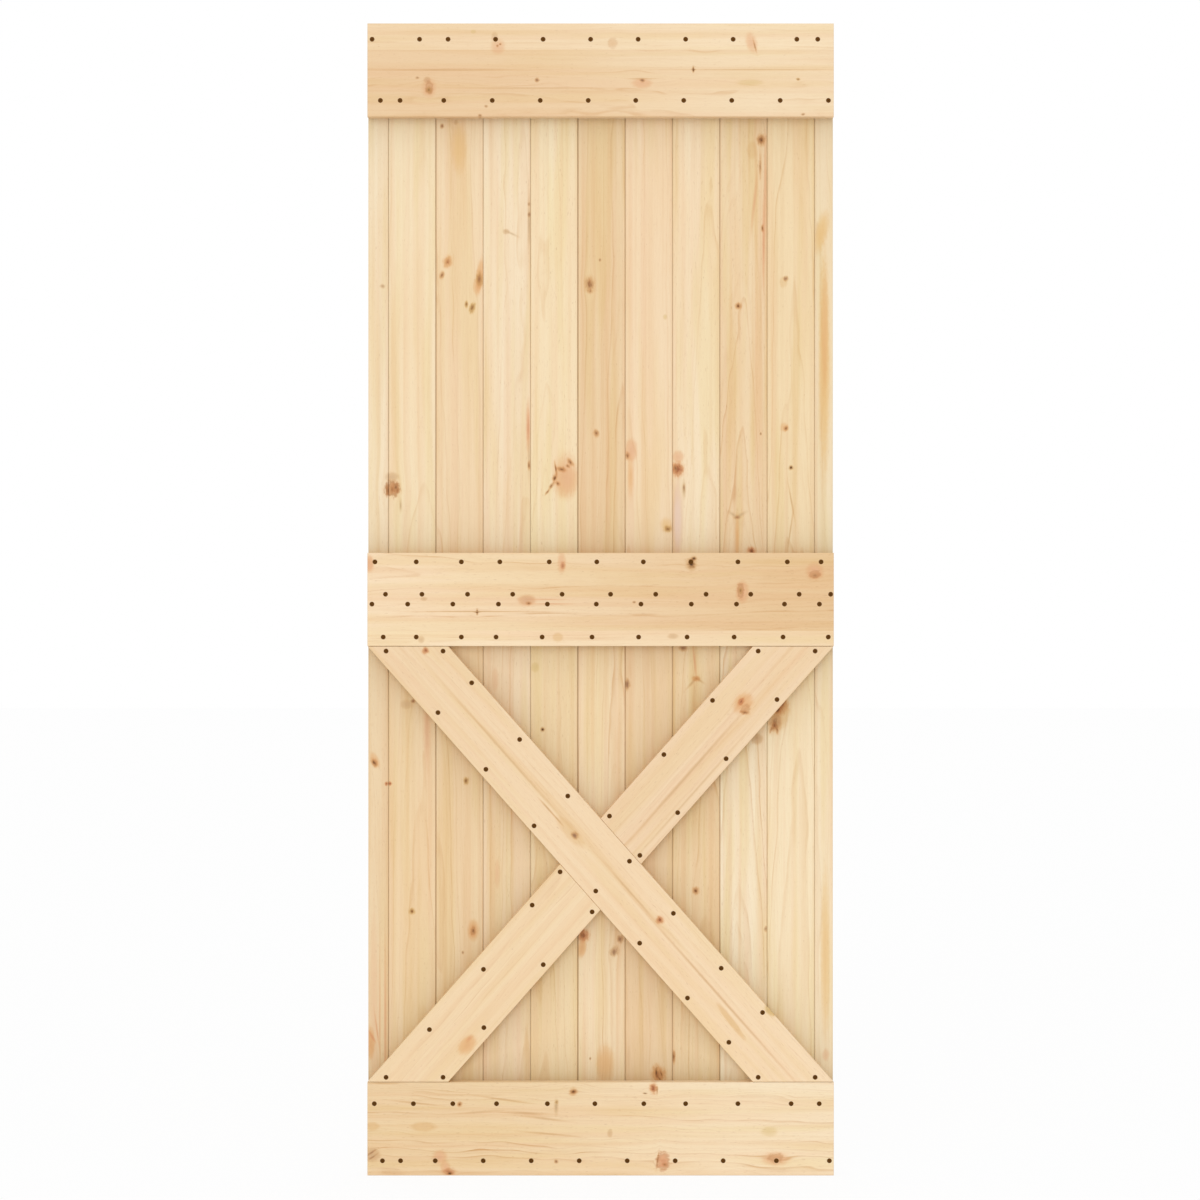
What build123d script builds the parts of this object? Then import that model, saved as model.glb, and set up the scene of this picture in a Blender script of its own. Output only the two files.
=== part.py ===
# Leaf of a sliding door, ledged and braced: eleven matched boards stand side by side,
# and three rails and a cross of braces are screwed on their front.
# The origin is the middle of the top rail's front face. +X is right, +Z up, and the front looks to -Y.
from build123d import *
from math import acos, atan2, cos, degrees, hypot, radians, sin
import os

os.makedirs("parts", exist_ok=True)

# Driving dimensions, in millimetres
leaf_width = 850
rail_height = 170
panel_height = 795
frame_thickness = 18
board_thickness = 20
edge_ease = 1.2

# Matched boards: the cover width is from one joint line to the next
cover_width = 86.6
first_board_width = 37
joint_gap = 0.4
joint_arris = 1.5
tongue_length = 6.5
tongue_thickness = 6
tongue_ease = 1
groove_side_clearance = 0.2
groove_end_clearance = 1

# Braces
brace_width = 110
brace_end_gap = 0.6
crossing_gap = 0.2

# A chip knocked out of the long brace's upper edge, below the crossing
chip_length = 22
chip_width = 6
chip_depth = 6
chip_from_crossing = 405

# Holes for countersunk 4.5 mm wood screws. There are over a hundred, so each is drawn
# with twelve flats in place of a circle.
screw_clearance_diameter = 5
screw_head_diameter = 9
hole_flat_count = 12

# Screw rows on the rails: how far a row lies from the rail's nearest edge, or from its middle
top_rail_upper_margin = 29
top_rail_lower_margin = 29.5
middle_rail_margin = 16.5
middle_rail_above_middle = 9.5
middle_rail_below_middle = 8.5
base_rail_upper_margin = 39
base_rail_lower_margin = 27

# Each row has its height above the rail's middle, and where in the width of each board its
# screw is driven, from 0 at the board's left edge to 1 at its right edge
half_rail = rail_height / 2
top_rail_rows = (
    (half_rail - top_rail_upper_margin, (0.23, 0.67, 0.27, 0.27, 0.27, 0.27, 0.27, 0.27, 0.27, 0.61, 0.13)),
    (top_rail_lower_margin - half_rail, (0.64, 0.26, 0.18, 0.20, 0.21, 0.22, 0.22, 0.23, 0.24, 0.26, 0.71)),
)
middle_rail_rows = (
    (half_rail - middle_rail_margin, (0.37, 0.60, 0.55, 0.36, 0.40, 0.40, 0.38, 0.38, 0.37, 0.41, 0.31)),
    (middle_rail_above_middle, (0.89, 0.72, 0.68, 0.63, 0.67, 0.69, 0.64, 0.70, 0.64, 0.66, 0.83)),
    (-middle_rail_below_middle, (0.22, 0.42, 0.37, 0.33, 0.36, 0.39, 0.33, 0.39, 0.34, 0.35, 0.22)),
    (middle_rail_margin - half_rail, (0.78, 0.60, 0.55, 0.28, 0.25, 0.30, 0.28, 0.30, 0.29, 0.32, 0.70)),
)
bottom_rail_rows = (
    (half_rail - base_rail_upper_margin, (0.34, 0.54, 0.37, 0.29, 0.36, 0.36, 0.39, 0.27, 0.37, 0.49, 0.21)),
    (base_rail_lower_margin - half_rail, (0.74, 0.27, 0.00, 0.01, 0.02, 0.03, 0.04, 0.05, 0.06, 0.18, 0.76)),
)

# Screws of the long brace: pairs across it, each as its share of the way from the crossing up
# to the brace's end (below the crossing it is negative), and how far the pair has drifted right
pair_spacing = 82
long_brace_pairs = (
    (0.76, 2), (0.505, -1), (0.25, -3.5), (-0.058, 2), (-0.292, -1), (-0.542, -2), (-0.75, 1),
)

# Screws of the half braces, in one row along each edge: the share of the way from the
# crossing to the rail, and the distance from the brace's edge
upper_brace_under_row = ((0.112, 12), (0.308, 12), (0.557, 11), (0.825, 13))
upper_brace_over_row = ((0.144, 9), (0.426, 9), (0.676, 10))
lower_brace_over_row = ((0.112, 9), (0.261, 11), (0.537, 22), (0.815, 21))
lower_brace_under_row = ((0.142, 9), (0.389, 12), (0.686, 17))

# The two screws at each brace end: their distance from the cut, and along it from the tip
# and from the blunt corner
end_screw_from_cut = 8.5
end_screw_from_tip = 34
end_screw_from_corner = 9

# Derived places
leaf_top = half_rail
leaf_bottom = leaf_top - 3 * rail_height - 2 * panel_height
leaf_height = leaf_top - leaf_bottom
leaf_left = -leaf_width / 2
leaf_right = leaf_width / 2
middle_rail_z = -rail_height - panel_height
bottom_rail_z = 2 * middle_rail_z
crossing_z = (middle_rail_z + bottom_rail_z) / 2
brace_top_z = crossing_z + panel_height / 2 - brace_end_gap
brace_bottom_z = crossing_z - panel_height / 2 + brace_end_gap

# The braces run from corner to corner of the lower panel. Their angle from the upright is
# the one at which both edges of a brace end in the corners.
diagonal = hypot(leaf_width, panel_height)
brace_angle = degrees(acos(brace_width / diagonal) - atan2(panel_height, leaf_width))
brace_reach = panel_height / 2 / cos(radians(brace_angle))
brace_cut = brace_width / cos(radians(brace_angle))
brace_blank = 2 * (brace_reach + brace_width)

# The faces that the rails and the braces are laid out on
front_face = Plane.XZ
frame_back = Plane.XZ.offset(-frame_thickness)


def joint_lines():
    """The left edges of all boards but the first, in the order they stand."""
    lines = []
    x = leaf_left + first_board_width
    while x < leaf_right - tongue_length:
        lines.append(x)
        x += cover_width
    return lines


board_lines = [leaf_left] + joint_lines() + [leaf_right]
board_count = len(board_lines) - 1


def rail_screws(rail_z, rows):
    """Places on a rail's front, one screw for each board in each row."""
    places = []
    for height, shares in rows:
        z = rail_z + height
        for board in range(board_count):
            left = board_lines[board]
            right = board_lines[board + 1]
            share = shares[board % len(shares)]
            places.append((left + share * (right - left), z))
    return places


def end_screws(lean):
    """Places of the two screws at a brace's upper end, from the crossing; lean is the side it leans to."""
    drop = panel_height / 2 - brace_end_gap - end_screw_from_cut
    tip = leaf_width / 2 - end_screw_from_tip
    corner = leaf_width / 2 - brace_cut + end_screw_from_corner
    return [(lean * tip, drop), (lean * corner, drop)]


def along_brace(lean, along, across):
    """A place on a brace from the crossing: along it upwards, and across it to the right."""
    angle = radians(brace_angle)
    x = lean * along * sin(angle) + across * cos(angle)
    z = along * cos(angle) - lean * across * sin(angle)
    return (x, z)


def from_crossing(places):
    """Places in the leaf's frame, of places given from the crossing."""
    return [(x, crossing_z + z) for x, z in places]


# What a screw takes out of the wood: its clearance hole, and a 90 degree countersink that
# starts a little in front of the face so that the cut is clean
countersink_depth = (screw_head_diameter - screw_clearance_diameter) / 2
with BuildPart() as screw_hole:
    with BuildSketch(front_face.offset(countersink_depth)):
        RegularPolygon(screw_head_diameter / 2, hole_flat_count, major_radius=False)
    extrude(amount=-2 * countersink_depth)
    chamfer(screw_hole.faces().sort_by(Axis.Y)[-1].edges(), countersink_depth)
    with BuildSketch(front_face):
        RegularPolygon(screw_clearance_diameter / 2, hole_flat_count, major_radius=False)
    extrude(amount=-frame_thickness)


def drill_screw_holes(places):
    """Cut a screw's hole at each place on the front of the piece that is being built."""
    with Locations(*[(x, 0, z) for x, z in places]):
        add(screw_hole.part, mode=Mode.SUBTRACT)


# Boards: a tongue on the right edge enters the groove in the next board's left edge. The
# first and the last board are ripped to width, and their outer edges are plain.
tongue_y = frame_thickness + board_thickness / 2
groove_width = tongue_thickness + 2 * groove_side_clearance
groove_depth = tongue_length - joint_gap + groove_end_clearance
boards = []
for number in range(board_count):
    is_first = number == 0
    is_last = number == board_count - 1
    left = board_lines[number] + (0 if is_first else joint_gap / 2)
    right = board_lines[number + 1] - (0 if is_last else joint_gap / 2)
    with BuildPart() as board:
        with BuildSketch(Plane.XY.offset(leaf_bottom)) as section:
            with Locations((left, tongue_y)):
                Rectangle(right - left, board_thickness, align=(Align.MIN, Align.CENTER))
            chamfer(section.vertices().group_by(Axis.X)[0], edge_ease if is_first else joint_arris)
            chamfer(section.vertices().group_by(Axis.X)[-1], edge_ease if is_last else joint_arris)
            if not is_last:
                with Locations((right, tongue_y)):
                    Rectangle(tongue_length, tongue_thickness, align=(Align.MIN, Align.CENTER))
                chamfer(section.vertices().group_by(Axis.X)[-1], tongue_ease)
            if not is_first:
                with Locations((left, tongue_y)):
                    Rectangle(groove_depth, groove_width, align=(Align.MIN, Align.CENTER), mode=Mode.SUBTRACT)
        extrude(amount=leaf_height)
    board.part.label = f"board_{number + 1}"
    boards.append(board.part)

# Rails: planed boards across the whole width, with eased front edges
rails = []
rail_layout = (
    ("top_rail", 0, top_rail_rows),
    ("middle_rail", middle_rail_z, middle_rail_rows),
    ("bottom_rail", bottom_rail_z, bottom_rail_rows),
)
for name, rail_z, rows in rail_layout:
    with BuildPart() as rail:
        with BuildSketch(frame_back):
            with Locations((0, rail_z)):
                Rectangle(leaf_width, rail_height)
        extrude(amount=frame_thickness)
        fillet(rail.faces().sort_by(Axis.Y)[0].edges(), radius=edge_ease)
        drill_screw_holes(rail_screws(rail_z, rows))
    rail.part.label = name
    rails.append(rail.part)

# Long brace: in one length from the middle rail's left end down to the bottom rail's right
# end. Its ends are cut level to sit against the rails.
long_screws = []
for share, drift in long_brace_pairs:
    for side in (-1, 1):
        long_screws.append(along_brace(-1, share * brace_reach, side * pair_spacing / 2 + drift))
upper_end = end_screws(-1)
lower_end = [(-x, -z) for x, z in upper_end]
with BuildPart() as long_brace:
    with BuildSketch(frame_back):
        with Locations(Location((0, crossing_z), brace_angle)):
            Rectangle(brace_width, brace_blank)
    extrude(amount=frame_thickness)
    split(bisect_by=Plane.XY.offset(brace_top_z), keep=Keep.BOTTOM)
    split(bisect_by=Plane.XY.offset(brace_bottom_z), keep=Keep.TOP)
    fillet(long_brace.faces().sort_by(Axis.Y)[0].edges(), radius=edge_ease)
    chip_x, chip_z = along_brace(-1, -chip_from_crossing, brace_width / 2)
    with BuildSketch(front_face):
        with Locations(Location((chip_x, crossing_z + chip_z), brace_angle)):
            Ellipse(chip_width, chip_length / 2)
    extrude(amount=-chip_depth, taper=35, mode=Mode.SUBTRACT)
    drill_screw_holes(from_crossing(long_screws + upper_end + lower_end))
long_brace.part.label = "long_brace"

# Half braces: the other arm of the cross, butted against both edges of the long brace. The
# lower one is laid out as the upper one turned half round about the crossing.
half_layout = (
    ("upper_brace", 1, upper_brace_under_row, upper_brace_over_row),
    ("lower_brace", -1, lower_brace_over_row, lower_brace_under_row),
)
half_braces = []
for name, way, near_row, far_row in half_layout:
    half_screws = end_screws(1)
    for side, row in ((1, near_row), (-1, far_row)):
        for share, inset in row:
            across = side * (brace_width / 2 - inset)
            half_screws.append(along_brace(1, share * brace_reach, across))
    half_screws = [(way * x, way * z) for x, z in half_screws]
    with BuildPart() as half_brace:
        with BuildSketch(frame_back):
            with Locations(Location((0, crossing_z), -brace_angle)):
                with Locations((0, way * brace_blank / 4)):
                    Rectangle(brace_width, brace_blank / 2)
            with Locations(Location((0, crossing_z), brace_angle)):
                Rectangle(brace_width + 2 * crossing_gap, brace_blank, mode=Mode.SUBTRACT)
        extrude(amount=frame_thickness)
        split(bisect_by=Plane.XY.offset(brace_top_z), keep=Keep.BOTTOM)
        split(bisect_by=Plane.XY.offset(brace_bottom_z), keep=Keep.TOP)
        fillet(half_brace.faces().sort_by(Axis.Y)[0].edges(), radius=edge_ease)
        drill_screw_holes(from_crossing(half_screws))
    half_brace.part.label = name
    half_braces.append(half_brace.part)

for piece in boards + rails + [long_brace.part] + half_braces:
    export_step(piece, f"parts/{piece.label}.step")
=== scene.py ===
from math import cos, pi, radians, sin

import bpy
from mathutils import Matrix, Vector


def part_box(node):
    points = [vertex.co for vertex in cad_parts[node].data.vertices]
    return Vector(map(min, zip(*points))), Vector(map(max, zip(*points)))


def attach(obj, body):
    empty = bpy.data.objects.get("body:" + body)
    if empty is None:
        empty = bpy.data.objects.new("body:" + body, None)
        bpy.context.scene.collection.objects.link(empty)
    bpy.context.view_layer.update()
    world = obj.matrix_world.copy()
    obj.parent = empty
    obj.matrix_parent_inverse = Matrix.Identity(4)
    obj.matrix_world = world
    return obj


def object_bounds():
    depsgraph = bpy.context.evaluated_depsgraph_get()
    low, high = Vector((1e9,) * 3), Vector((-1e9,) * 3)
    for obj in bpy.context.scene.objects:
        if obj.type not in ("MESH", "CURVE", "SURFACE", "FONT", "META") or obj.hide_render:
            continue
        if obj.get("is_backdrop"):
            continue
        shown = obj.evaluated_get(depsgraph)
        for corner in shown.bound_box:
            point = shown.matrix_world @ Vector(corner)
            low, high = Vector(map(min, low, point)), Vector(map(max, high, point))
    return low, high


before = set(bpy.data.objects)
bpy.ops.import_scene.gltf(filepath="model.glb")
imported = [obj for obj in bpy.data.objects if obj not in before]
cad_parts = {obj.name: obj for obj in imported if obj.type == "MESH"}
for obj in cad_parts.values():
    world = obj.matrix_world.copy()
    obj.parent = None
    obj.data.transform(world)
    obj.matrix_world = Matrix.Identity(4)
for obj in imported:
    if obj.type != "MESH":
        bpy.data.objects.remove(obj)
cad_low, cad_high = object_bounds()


# Camera. The leaf was photographed squarely from the front, level with its middle, from far
# enough away that the faces of the rails hide the sides of the leaf.
camera_distance = 4.6
picture_width = 2.187
leaf_middle = (cad_low + cad_high) / 2
picture_shift_left = 0.0011
picture_shift_down = 0.001

camera = bpy.data.objects.new("camera", bpy.data.cameras.new("camera"))
bpy.context.collection.objects.link(camera)
camera.location = (
    leaf_middle.x - picture_shift_left,
    cad_low.y - camera_distance,
    leaf_middle.z - picture_shift_down,
)
camera.rotation_euler = (pi / 2, 0, 0)
camera.data.lens = camera.data.sensor_width * camera_distance / picture_width
bpy.context.scene.camera = camera
bpy.context.scene.view_settings.view_transform = "Standard"


# Boards. Eleven matched boards of pine, tongued and grooved, planed and sanded and left raw.
# The wood is pale, with soft yellow and pink streaks along the grain, growth rings that show as
# faint lines, and brown and orange knots that the grain bows round.
mm = 1000
leaf_left_mm = cad_low.x * mm
leaf_top_mm = cad_high.z * mm


def linear(code):
    """An sRGB hex colour as linear light."""
    shares = [int(code[start:start + 2], 16) / 255 for start in (1, 3, 5)]
    return [s / 12.92 if s <= 0.04045 else ((s + 0.055) / 1.055) ** 2.4 for s in shares] + [1.0]


def feed(tree, socket, value):
    """Sets a socket to a value, or links it to an output or to a node's first output in use."""
    if isinstance(value, bpy.types.Node):
        value = next(s for s in value.outputs if s.enabled)
    if isinstance(value, bpy.types.NodeSocket):
        tree.links.new(value, socket)
    else:
        socket.default_value = value


def add_node(tree, kind, links=None, **settings):
    """Adds a shader node with its settings, and feeds each of the inputs named."""
    made = tree.nodes.new("ShaderNode" + kind)
    for name, value in settings.items():
        setattr(made, name, value)
    for name, value in (links or {}).items():
        if isinstance(name, int):
            socket = made.inputs[name]
        else:
            socket = next(s for s in made.inputs if s.enabled and s.name == name)
        feed(tree, socket, value)
    return made


def new_group(name, inputs, outputs):
    """A node group with its sockets: the tree, its group input and its group output."""
    tree = bpy.data.node_groups.new(name, "ShaderNodeTree")
    for way, sockets in (("INPUT", inputs), ("OUTPUT", outputs)):
        for socket, kind in sockets.items():
            tree.interface.new_socket(name=socket, in_out=way, socket_type="NodeSocket" + kind)
    return tree, tree.nodes.new("NodeGroupInput"), tree.nodes.new("NodeGroupOutput")


# How the grain bows round a knot: how far the rings are pushed aside, and how far a point is
# from the knot, where 1 is its edge
grain_round_knot, given, result = new_group(
    "grain_round_knot",
    {"Grain": "Vector", "Centre": "Vector", "Half Size": "Vector", "Tilt": "Float", "Bow": "Float",
     "Push": "Float", "Ragged": "Float"},
    {"Push": "Float", "Distance": "Float"},
)
tree = grain_round_knot
edge_raggedness = 1.9
bow_fade_across = 0.33
bow_fade_along = 0.28
bow_softness = 0.6
offset = add_node(tree, "VectorMath", {0: given.outputs["Grain"], 1: given.outputs["Centre"]},
                  operation="SUBTRACT")
leaning = add_node(tree, "VectorRotate", {"Vector": offset, "Angle": given.outputs["Tilt"]},
                   rotation_type="Y_AXIS")
shares = add_node(tree, "VectorMath", {0: leaning, 1: given.outputs["Half Size"]},
                  operation="DIVIDE")
flat = add_node(tree, "VectorMath", {0: shares, 1: (1, 0, 1)}, operation="MULTIPLY")
away = add_node(tree, "VectorMath", {0: flat}, operation="LENGTH").outputs["Value"]
ragged = add_node(tree, "Math", {0: given.outputs["Ragged"], 1: edge_raggedness, 2: away},
                  operation="MULTIPLY_ADD")
feed(tree, result.inputs["Distance"], ragged)
faded = add_node(tree, "VectorMath", {0: flat, 1: (bow_fade_across, 0, bow_fade_along)},
                 operation="MULTIPLY")
squared = add_node(tree, "VectorMath", {0: faded, 1: faded},
                   operation="DOT_PRODUCT").outputs["Value"]
spread = add_node(tree, "Math", {0: squared, 1: 1.0}, operation="ADD")
near = add_node(tree, "Math", {0: spread, 1: -2.0}, operation="POWER")
across = add_node(tree, "SeparateXYZ", {0: shares}).outputs["X"]
size = add_node(tree, "Math", {0: across}, operation="ABSOLUTE")
softened = add_node(tree, "Math", {0: size, 1: bow_softness}, operation="ADD")
side = add_node(tree, "Math", {0: across, 1: softened}, operation="DIVIDE")
pushed = add_node(tree, "Math", {0: side, 1: near}, operation="MULTIPLY")
bow = add_node(tree, "Math", {0: pushed, 1: given.outputs["Bow"]}, operation="MULTIPLY")
total = add_node(tree, "Math", {0: given.outputs["Push"], 1: bow}, operation="SUBTRACT")
feed(tree, result.inputs["Push"], total)


# The stain of a knot or a resin streak over the wood: a halo that fades out, a core, a heart
# and a rim of bark. Each layer has how it is laid on, what it is measured by, where it starts
# and where it is full, in half sizes of the mark.
knot_stain, given, result = new_group(
    "knot_stain",
    {"Colour": "Color", "Distance": "Float", "Reach": "Float",
     "Halo": "Color", "Halo Strength": "Float", "Core": "Color", "Core Strength": "Float",
     "Heart": "Color", "Heart Strength": "Float", "Rim": "Color", "Rim Strength": "Float"},
    {"Colour": "Color"},
)
tree = knot_stain
rim_middle = 0.95
colour = given.outputs["Colour"]
distance = given.outputs["Distance"]
from_rim = add_node(tree, "Math", {0: distance, 1: rim_middle}, operation="SUBTRACT")
from_rim = add_node(tree, "Math", {0: from_rim}, operation="ABSOLUTE")
layers = (
    ("Halo", "MULTIPLY", distance, given.outputs["Reach"], 0.7),
    ("Core", "MIX", distance, 1.45, 0.35),
    ("Heart", "MIX", distance, 0.9, 0.1),
    ("Rim", "MIX", from_rim, 0.45, 0.05),
)
for layer, blend, measure, start, full in layers:
    mask = add_node(tree, "MapRange",
                    {"Value": measure, "From Min": start, "From Max": full},
                    interpolation_type="SMOOTHSTEP")
    share = add_node(tree, "Math", {0: mask, 1: given.outputs[layer + " Strength"]},
                     operation="MULTIPLY")
    colour = add_node(tree, "Mix", {"Factor": share, "A": colour, "B": given.outputs[layer]},
                      data_type="RGBA", blend_type=blend)
feed(tree, result.inputs["Colour"], colour)


# Planed pine. Growth rings stand round the pith behind the board and narrow slowly along it,
# so that they cut the face as long lines and arches. Each ring is pale, turns tan towards its
# outer edge and ends there. Slow bands of yellow and pink lie over them, and fibre under them.
pine_grain, given, result = new_group(
    "pine_grain",
    {"Grain": "Vector", "Push": "Float", "Seed": "Vector", "Pith": "Vector", "Ring Width": "Float",
     "Taper": "Float", "Broken": "Float", "Tone": "Color", "Late": "Color", "Contrast": "Float",
     "Streaks": "Float", "Wander": "Float"},
    {"Colour": "Color", "Fibre": "Float", "Late Wood": "Float"},
)
tree = pine_grain
push = add_node(tree, "CombineXYZ", {"X": given.outputs["Push"]})
bent = add_node(tree, "VectorMath", {0: given.outputs["Grain"], 1: push}, operation="ADD")
seeded = add_node(tree, "VectorMath", {0: bent, 1: given.outputs["Seed"]}, operation="ADD")
straight = add_node(tree, "VectorMath",
                    {0: given.outputs["Grain"], 1: given.outputs["Seed"]}, operation="ADD")

# Noise stretched along the grain: the size of its blots across, in depth and along in mm, its
# detail and its roughness. Fibre is finer than this in real pine; it is drawn 0.7 mm wide so
# that it shows close up. Fibre and ducts run straight past the knots, which keeps them quick.
stretched = {
    "slow wander": (70, 70, 520, 3, 0.45),
    "quick wander": (26, 26, 110, 1, 0.5),
    "fading": (35, 35, 240, 2, 0.5),
    "breaks": (9, 9, 60, 1, 0.5),
    "rosy": (13, 30, 800, 1, 0.5),
    "tan": (7, 25, 700, 1, 0.5),
    "broad": (38, 60, 460, 1, 0.5),
    "yellow": (20, 40, 380, 1, 0.5),
    "fibre": (0.7, 0.7, 26, 2, 0.6),
    "ducts": (0.8, 0.8, 9, 0, 0.5),
}
noise = {}
for name, (across_mm, depth_mm, length_mm, detail, roughness) in stretched.items():
    start = straight if name in ("fibre", "ducts") else seeded
    scaled = add_node(tree, "VectorMath",
                      {0: start, 1: (1 / across_mm, 1 / depth_mm, 1 / length_mm)},
                      operation="MULTIPLY")
    noise[name] = add_node(tree, "TexNoise", {"Vector": scaled, "Scale": 1.0, "Detail": detail,
                                              "Roughness": roughness})

# The rings wander to each side and in depth by these two noises
slow_swing_mm = 22
quick_swing_mm = 5
grown = bent
for name, swing_mm, widened in (
    ("slow wander", slow_swing_mm, 1.0),
    ("quick wander", quick_swing_mm, given.outputs["Wander"]),
):
    centred = add_node(tree, "VectorMath",
                       {0: noise[name].outputs["Color"], 1: (0.5, 0.5, 0.5)}, operation="SUBTRACT")
    swing = add_node(tree, "VectorMath", {0: centred, 1: (swing_mm, swing_mm, 0)},
                     operation="MULTIPLY")
    swing = add_node(tree, "VectorMath", {0: swing, "Scale": widened}, operation="SCALE")
    grown = add_node(tree, "VectorMath", {0: grown, 1: swing}, operation="ADD")
from_pith = add_node(tree, "VectorMath", {0: grown, 1: given.outputs["Pith"]}, operation="SUBTRACT")
section = add_node(tree, "VectorMath", {0: from_pith, 1: (1, 1, 0)}, operation="MULTIPLY")
radius = add_node(tree, "VectorMath", {0: section}, operation="LENGTH").outputs["Value"]
height = add_node(tree, "SeparateXYZ", {0: from_pith}).outputs["Z"]
narrowed = add_node(tree, "Math", {0: height, 1: given.outputs["Taper"], 2: radius},
                    operation="MULTIPLY_ADD")
years = add_node(tree, "Math", {0: narrowed, 1: given.outputs["Ring Width"]}, operation="DIVIDE")
# Good and bad years make rings of uneven width
years_a_spell = 2.5
unevenness = 2.2
good_years = add_node(tree, "TexNoise", {"W": years, "Scale": 1 / years_a_spell, "Detail": 1.0},
                      noise_dimensions="1D")
uneven = add_node(tree, "Math", {0: good_years, 1: unevenness, 2: years}, operation="MULTIPLY_ADD")
# Through one year the wood is pale, darkens into late wood and ends at a sharp line
season = add_node(tree, "Math", {0: uneven}, operation="FRACT")
profile = add_node(tree, "ValToRGB", {"Fac": season})
stops = profile.color_ramp.elements
stops.remove(stops[1])
stops[0].color = (0.08, 0.08, 0.08, 1)
for position, value in ((0.45, 0.10), (0.68, 0.35), (0.84, 1.0), (0.93, 0.90), (1.0, 0.08)):
    stops.new(position).color = (value, value, value, 1)
# A few rings are much darker than the rest, and each fades and breaks along its length
darkest_ring = 1.6
palest_ring = 0.22
rarity = 3.0
faded_ring = 0.3
fading_low, fading_high = 0.35, 0.65
breaks_low, breaks_high = 0.42, 0.58
ring = add_node(tree, "Math", {0: uneven}, operation="FLOOR")
ring_draw = add_node(tree, "TexWhiteNoise", {"W": ring}, noise_dimensions="1D")
ring_rare = add_node(tree, "Math", {0: ring_draw.outputs["Value"], 1: rarity}, operation="POWER")
ring_weight = add_node(tree, "MapRange",
                       {"Value": ring_rare, "To Min": palest_ring, "To Max": darkest_ring})
ring_fade = add_node(tree, "MapRange",
                     {"Value": noise["fading"], "From Min": fading_low, "From Max": fading_high,
                      "To Min": faded_ring})
broken_low = add_node(tree, "Math", {0: 1.0, 1: given.outputs["Broken"]}, operation="SUBTRACT")
ring_breaks = add_node(tree, "MapRange",
                       {"Value": noise["breaks"], "From Min": breaks_low, "From Max": breaks_high,
                        "To Min": broken_low})
late_wood = profile.outputs["Color"]
for factor in (ring_weight, ring_fade, ring_breaks, given.outputs["Contrast"]):
    late_wood = add_node(tree, "Math", {0: late_wood, 1: factor}, operation="MULTIPLY")
colour = add_node(tree, "Mix",
                  {"Factor": late_wood, "A": given.outputs["Tone"], "B": given.outputs["Late"]},
                  data_type="RGBA", blend_type="MULTIPLY")
# Bands: the part of the noise that shows, the strength and the tint
bands = {
    "rosy": (0.42, 0.70, 0.75, "#f8e9df"),
    "tan": (0.48, 0.70, 0.50, "#f3e9d9"),
    "broad": (0.42, 0.70, 0.75, "#faeee0"),
    "yellow": (0.44, 0.68, 0.80, "#f7f3d9"),
}
for name, (low, high, strength, tint) in bands.items():
    shown = add_node(tree, "MapRange",
                     {"Value": noise[name], "From Min": low, "From Max": high, "To Max": strength},
                     interpolation_type="SMOOTHSTEP")
    share = add_node(tree, "Math", {0: shown, 1: given.outputs["Streaks"]}, operation="MULTIPLY")
    colour = add_node(tree, "Mix", {"Factor": share, "A": colour, "B": linear(tint)},
                      data_type="RGBA", blend_type="MULTIPLY")
# Fibre and resin ducts, which show as short brown hairs, in the same terms
hairs = {"fibre": (0.42, 0.75, 0.16, "#e2c8a0"), "ducts": (0.74, 0.82, 0.25, "#b98a5c")}
for name, (low, high, strength, tint) in hairs.items():
    share = add_node(tree, "MapRange",
                     {"Value": noise[name], "From Min": low, "From Max": high, "To Max": strength})
    colour = add_node(tree, "Mix", {"Factor": share, "A": colour, "B": linear(tint)},
                      data_type="RGBA", blend_type="MULTIPLY")
feed(tree, result.inputs["Colour"], colour)
feed(tree, result.inputs["Fibre"], noise["fibre"])
feed(tree, result.inputs["Late Wood"], late_wood)


# How far a point of the boards' front is from the nearest rail or brace, as a share that fades
# out, by which a soft painted shade darkens the boards beside it. The painted shade is deepest
# beside the bottom rail; the others count as if they were a little farther away.
brace_lean = radians(41.49)
brace_half_mm = 55
shade_reach_mm = 38
less_shade_mm = 12
boards_middle_y_mm = 28
far_off_mm = 1000.0
painted_shade_beside_frame, given, result = new_group("painted_shade_beside_frame", {"Place": "Vector"}, {"Share": "Float"})
tree = painted_shade_beside_frame
place = add_node(tree, "SeparateXYZ", {0: given.outputs["Place"]})
nearest = far_off_mm
for rail, farther_mm in (("top_rail", less_shade_mm), ("middle_rail", less_shade_mm), ("bottom_rail", 0)):
    low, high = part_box(rail)
    from_middle = add_node(tree, "Math", {0: place.outputs["Z"], 1: (low.z + high.z) / 2 * mm},
                           operation="SUBTRACT")
    from_middle = add_node(tree, "Math", {0: from_middle}, operation="ABSOLUTE")
    gap = add_node(tree, "Math", {0: from_middle, 1: (high.z - low.z) / 2 * mm - farther_mm},
                   operation="SUBTRACT")
    nearest = add_node(tree, "Math", {0: nearest, 1: gap}, operation="MINIMUM")
low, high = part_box("long_brace")
above_braces = add_node(tree, "Math", {0: place.outputs["Z"], 1: high.z * mm}, operation="SUBTRACT")
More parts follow.
